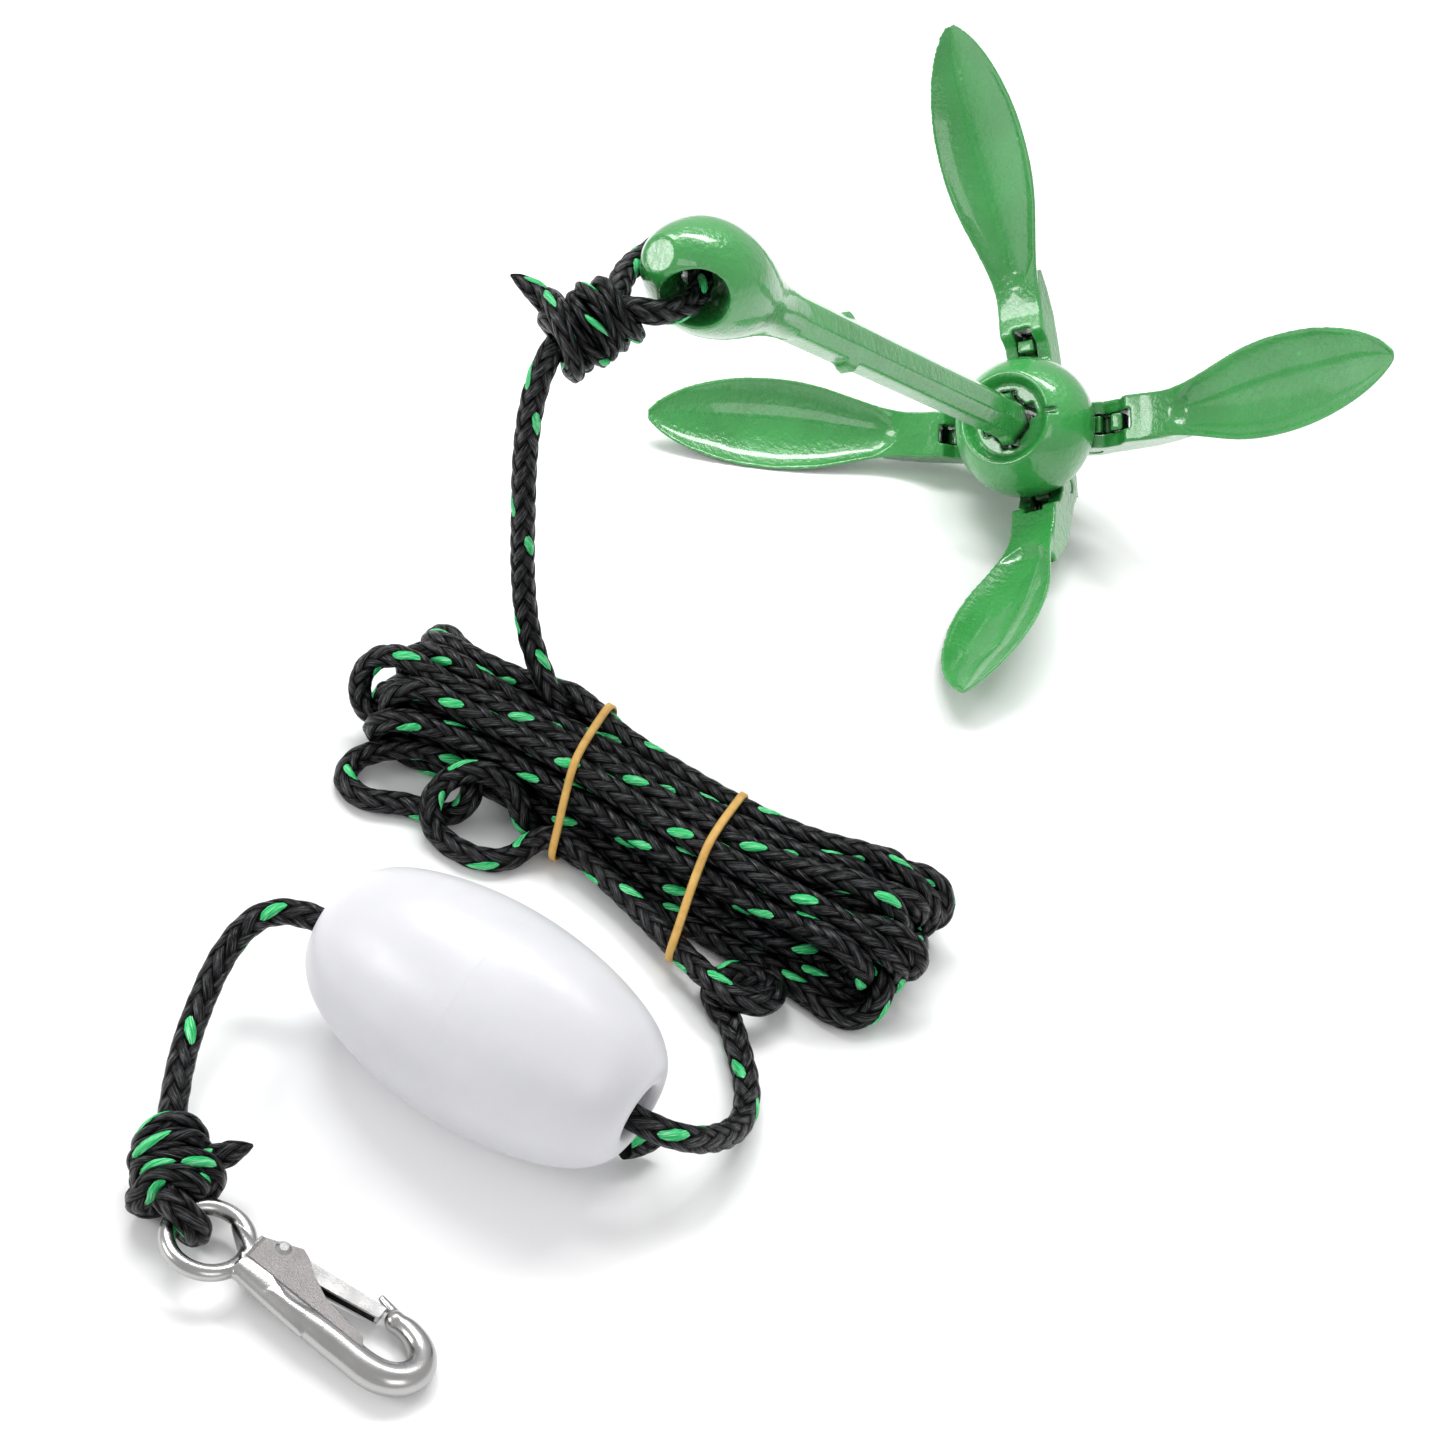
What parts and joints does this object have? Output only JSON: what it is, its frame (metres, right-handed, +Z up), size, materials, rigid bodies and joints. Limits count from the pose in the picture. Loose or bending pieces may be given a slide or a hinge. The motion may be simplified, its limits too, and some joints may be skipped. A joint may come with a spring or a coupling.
{
  "type": "grapnel anchor",
  "caption": "Folding grapnel anchor with a locking slide collar, a bundled tracer line, a barrel float and a snap hook.",
  "frame": {"origin": "on the floor, below the centre of the anchor's own box, without the rope and what is on it", "axes": "+Z up from the floor; the shank leans towards -X -Y, with its eye highest"},
  "size_m": [0.2862, 0.5016, 0.1652],
  "materials": {
    "anchor_enamel": "glossy enamel over rough casting",
    "rope": "braided filament with tracer flecks",
    "rubber_band": "matte",
    "float_plastic": "satin",
    "hook_steel": "polished"
  },
  "bodies": {
    "anchor_and_line": {"shank": "anchor_enamel", "fluke_pin_right": "anchor_enamel", "fluke_pin_up": "anchor_enamel", "fluke_pin_left": "anchor_enamel", "fluke_pin_low": "anchor_enamel", "anchor_loop": "rope", "anchor_knot": "rope", "anchor_tail": "rope", "rope_lead": "rope", "hank": "rope", "band_1": "rubber_band", "band_2": "rubber_band", "rope_float": "rope", "float_tail": "rope", "hook_knot": "rope", "hook_tail": "rope", "hook_loop": "rope", "hook_body": "hook_steel", "hook_rivet": "hook_steel", "hook_spring": "hook_steel"},
    "collar": {"collar": "anchor_enamel"},
    "fluke_right_body": {"fluke_right": "anchor_enamel"},
    "fluke_up_body": {"fluke_up": "anchor_enamel"},
    "fluke_left_body": {"fluke_left": "anchor_enamel"},
    "fluke_low_body": {"fluke_low": "anchor_enamel"},
    "gate": {"hook_gate": "hook_steel"},
    "float": {"float_body": "float_plastic"}
  },
  "joints": [
    {"name": "collar_slide", "type": "slide", "parent": "anchor_and_line", "child": "collar", "axis": [-0.5141, -0.7076, 0.4848], "range_m": [0, 0.15]},
    {"name": "fluke_right_fold", "type": "hinge", "parent": "anchor_and_line", "child": "fluke_right_body", "pos_m": [0.04611, 0.06171, 0.04049], "axis": [0.2721, -0.6706, -0.6901], "range_deg": [0, 66.7]},
    {"name": "fluke_up_fold", "type": "hinge", "parent": "anchor_and_line", "child": "fluke_up_body", "pos_m": [0.02144, 0.08124, 0.04284], "axis": [0.7902, -0.1708, 0.5886], "range_deg": [0, 66.4]},
    {"name": "fluke_left_fold", "type": "hinge", "parent": "anchor_and_line", "child": "fluke_left_body", "pos_m": [0.0109, 0.07189, 0.01801], "axis": [-0.2378, 0.6606, 0.712], "range_deg": [0, 49]},
    {"name": "fluke_low_fold", "type": "hinge", "parent": "anchor_and_line", "child": "fluke_low_body", "pos_m": [0.03655, 0.0516, 0.01561], "axis": [-0.7742, 0.1395, -0.6174], "range_deg": [0, 40.6]},
    {"name": "gate_hinge", "type": "hinge", "parent": "anchor_and_line", "child": "gate", "pos_m": [-0.12314, -0.34907, 0.00641], "axis": [0.1292, 0.1413, 0.9815], "range_deg": [-14, 0], "stiffness_Nm_per_rad": 0.05, "springref_deg": 17.19},
    {"name": "float_spin", "type": "hinge", "parent": "anchor_and_line", "child": "float", "pos_m": [-0.0957, -0.2824, 0.0286], "axis": [0.9339, -0.3574, 0], "continuous": true}
  ],
  "couplings": [
    {"joint": "fluke_right_fold", "follows": "collar_slide", "rad_per_m": 7.7551},
    {"joint": "fluke_up_fold", "follows": "collar_slide", "rad_per_m": 7.7202},
    {"joint": "fluke_left_fold", "follows": "collar_slide", "rad_per_m": 5.6956},
    {"joint": "fluke_low_fold", "follows": "collar_slide", "rad_per_m": 4.7182}
  ]
}
